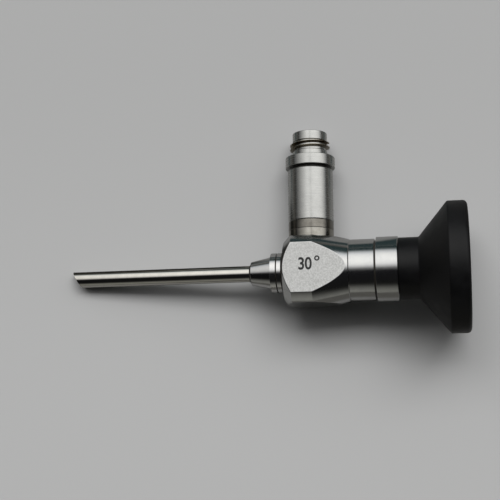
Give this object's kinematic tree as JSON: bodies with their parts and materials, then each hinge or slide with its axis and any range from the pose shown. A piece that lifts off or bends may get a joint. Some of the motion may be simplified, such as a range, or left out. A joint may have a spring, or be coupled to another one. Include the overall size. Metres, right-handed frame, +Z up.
{
  "type": "rigid endoscope",
  "caption": "Short rigid endoscope with a slanted 30 degree tip, a milled steel body, a side light post with screw-on cable adapters and a black eyecup.",
  "frame": {"origin": "middle of the footprint, on the table that the instrument lies on", "axes": "+Z up from the table; +X along the instrument's length, towards the eyepiece (the optical axis rises about 8.5 degrees along it); +Y towards the light post's side"},
  "size_m": [0.1006, 0.051, 0.032],
  "materials": {
    "shaft_steel": "polished stainless tube",
    "nose_steel": "polished, turned",
    "body_steel": "turned and polished, with satin milled flats",
    "ring_steel": "fine turned",
    "post_steel": "turned, slightly dull",
    "adapter_steel": "fine brushed, bright edges",
    "inner_steel": "drawn thin tube",
    "cup_plastic": "matte black, slightly worn sheen",
    "black_metal": "blackened",
    "lens_glass": "polished and coated",
    "fibre_glass": "resin-bound glass fibres, ends polished",
    "seal_rubber": "moulded",
    "ferrule_brass": "turned"
  },
  "bodies": {
    "root": {"adapter_seal": "seal_rubber", "adapter_sleeve": "adapter_steel", "barrel_seal": "seal_rubber", "body_block": "body_steel", "cable_adapter": "adapter_steel", "deflecting_prism": "lens_glass", "distal_window": "lens_glass", "eye_lens": "lens_glass", "eyecup": "cup_plastic", "eyepiece_ring_1": "ring_steel", "eyepiece_ring_2": "ring_steel", "eyepiece_window": "lens_glass", "fibre_bundle": "fibre_glass", "fibre_ferrule": "ferrule_brass", "field_lens": "lens_glass", "field_stop": "black_metal", "lens_ring": "black_metal", "lens_spacer": "black_metal", "light_rod": "lens_glass", "nose_cone": "nose_steel", "nose_ring": "nose_steel", "objective_doublet": "lens_glass", "objective_front_lens": "lens_glass", "ocular_barrel": "inner_steel", "optical_tube": "inner_steel", "outer_sheath": "shaft_steel", "post_foot": "post_steel", "post_ring": "post_steel", "rod_lens_1": "lens_glass", "rod_lens_2": "lens_glass", "rod_lens_3": "lens_glass", "spacer_tube_1": "black_metal", "spacer_tube_2": "black_metal", "spacer_tube_3": "black_metal", "stop_spacer": "black_metal", "window_retainer": "black_metal"}
  },
  "joints": []
}
